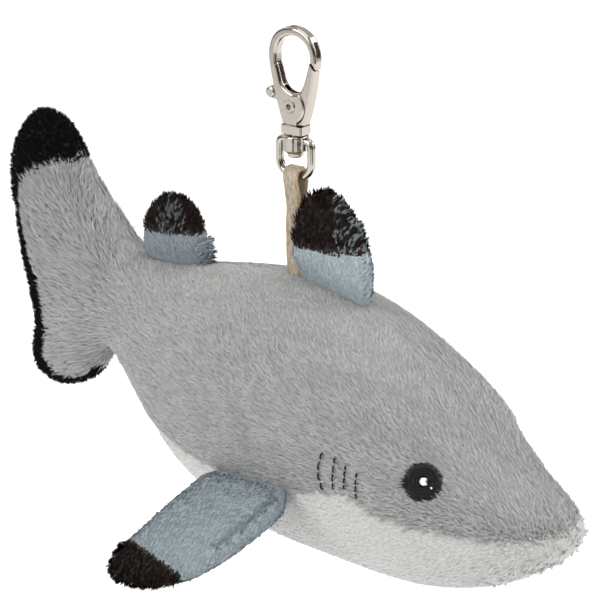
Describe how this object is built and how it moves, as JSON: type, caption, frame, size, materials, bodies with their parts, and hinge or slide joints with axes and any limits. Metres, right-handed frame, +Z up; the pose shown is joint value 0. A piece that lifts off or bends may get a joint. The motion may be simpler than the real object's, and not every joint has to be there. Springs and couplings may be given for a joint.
{
  "type": "plush shark key charm",
  "caption": "Stuffed plush reef shark with black-tipped fins, hung by a cotton tape from a swivel trigger clasp.",
  "frame": {"origin": "centre of the round seat at the top of the clasp's hook, on the plane of symmetry", "axes": "+X towards the shark's nose, +Y to the shark's left, +Z up; the shark hangs below the origin"},
  "size_m": [0.1839, 0.1388, 0.1316],
  "materials": {
    "nickel": "polished nickel plate",
    "spring_steel": "drawn wire",
    "cotton_tape": "woven cotton",
    "grey_plush": "short pile plush",
    "white_plush": "short pile plush",
    "blue_plush": "short pile plush, printed brown-black at the fin's tip",
    "black_plush": "short pile plush",
    "black_thread": "satin stitch",
    "white_thread": "satin stitch",
    "filling": "polyester fibre"
  },
  "bodies": {
    "hook": {"hook_body": "nickel", "gate_pivot_rivet": "nickel", "gate_spring": "spring_steel", "swivel_rivet": "nickel"},
    "gate": {"gate_lever": "nickel"},
    "ring": {"swivel_ring": "nickel"},
    "strap": {"strap_tape": "cotton_tape"},
    "torso": {"side_panel_right": "grey_plush", "side_panel_left": "grey_plush", "belly_panel": "white_plush", "body_filling": "filling", "eye_right": "black_thread", "eye_left": "black_thread", "eye_glint_right": "white_thread", "eye_glint_left": "white_thread", "gill_stitches_right": "black_thread", "gill_stitches_left": "black_thread"},
    "tail": {"tail_tip_cap": "black_plush", "tail_edge_band": "black_plush", "tail_panel_right": "grey_plush", "tail_panel_left": "grey_plush", "tail_filling": "filling"},
    "pectoral_right": {"pectoral_upper_right": "blue_plush", "pectoral_lower_right": "blue_plush", "pectoral_filling_right": "filling"},
    "pectoral_left": {"pectoral_upper_left": "blue_plush", "pectoral_lower_left": "blue_plush", "pectoral_filling_left": "filling"},
    "first_dorsal": {"first_dorsal_left_panel": "blue_plush", "first_dorsal_right_panel": "blue_plush", "first_dorsal_filling": "filling"},
    "second_dorsal": {"second_dorsal_left_panel": "blue_plush", "second_dorsal_right_panel": "blue_plush", "second_dorsal_filling": "filling"}
  },
  "joints": [
    {"name": "gate_pivot", "type": "hinge", "parent": "hook", "child": "gate", "pos_m": [-0.0009, 0, -0.0127], "axis": [0, -1, 0], "range_deg": [0, 20], "stiffness_Nm_per_rad": 0.005, "springref_deg": -20.05, "deforming": ["gate_spring"]},
    {"name": "ring_swivel", "type": "hinge", "parent": "hook", "child": "ring", "pos_m": [0, 0, -0.0222], "axis": [0, 0, 1], "continuous": true},
    {"name": "strap_swing", "type": "hinge", "parent": "ring", "child": "strap", "pos_m": [0, 0, -0.0304], "axis": [1, 0, 0], "range_deg": [-60, 60]},
    {"name": "tape_flex", "type": "hinge", "parent": "strap", "child": "torso", "pos_m": [0, 0, -0.05405], "axis": [1, 0, 0], "range_deg": [-45, 45], "stiffness_Nm_per_rad": 0.002},
    {"name": "tail_bend", "type": "hinge", "parent": "torso", "child": "tail", "pos_m": [-0.0525, 0, -0.078], "axis": [0, 0, 1], "range_deg": [-25, 25], "stiffness_Nm_per_rad": 0.02},
    {"name": "pectoral_right_flap", "type": "hinge", "parent": "torso", "child": "pectoral_right", "pos_m": [0.0075, -0.03005, -0.10115], "axis": [-0.989, 0.1378, -0.053], "range_deg": [-25, 40], "stiffness_Nm_per_rad": 0.012},
    {"name": "pectoral_left_flap", "type": "hinge", "parent": "torso", "child": "pectoral_left", "pos_m": [0.0075, 0.03005, -0.10115], "axis": [0.989, 0.1378, 0.053], "range_deg": [-25, 40], "stiffness_Nm_per_rad": 0.012},
    {"name": "first_dorsal_lean", "type": "hinge", "parent": "torso", "child": "first_dorsal", "pos_m": [0.012, 0, -0.0564], "axis": [0.9803, 0, -0.1977], "range_deg": [-30, 30], "stiffness_Nm_per_rad": 0.001},
    {"name": "second_dorsal_lean", "type": "hinge", "parent": "torso", "child": "second_dorsal", "pos_m": [-0.0387, 0, -0.0586], "axis": [1, 0, 0], "range_deg": [-25, 25], "stiffness_Nm_per_rad": 0.001}
  ]
}
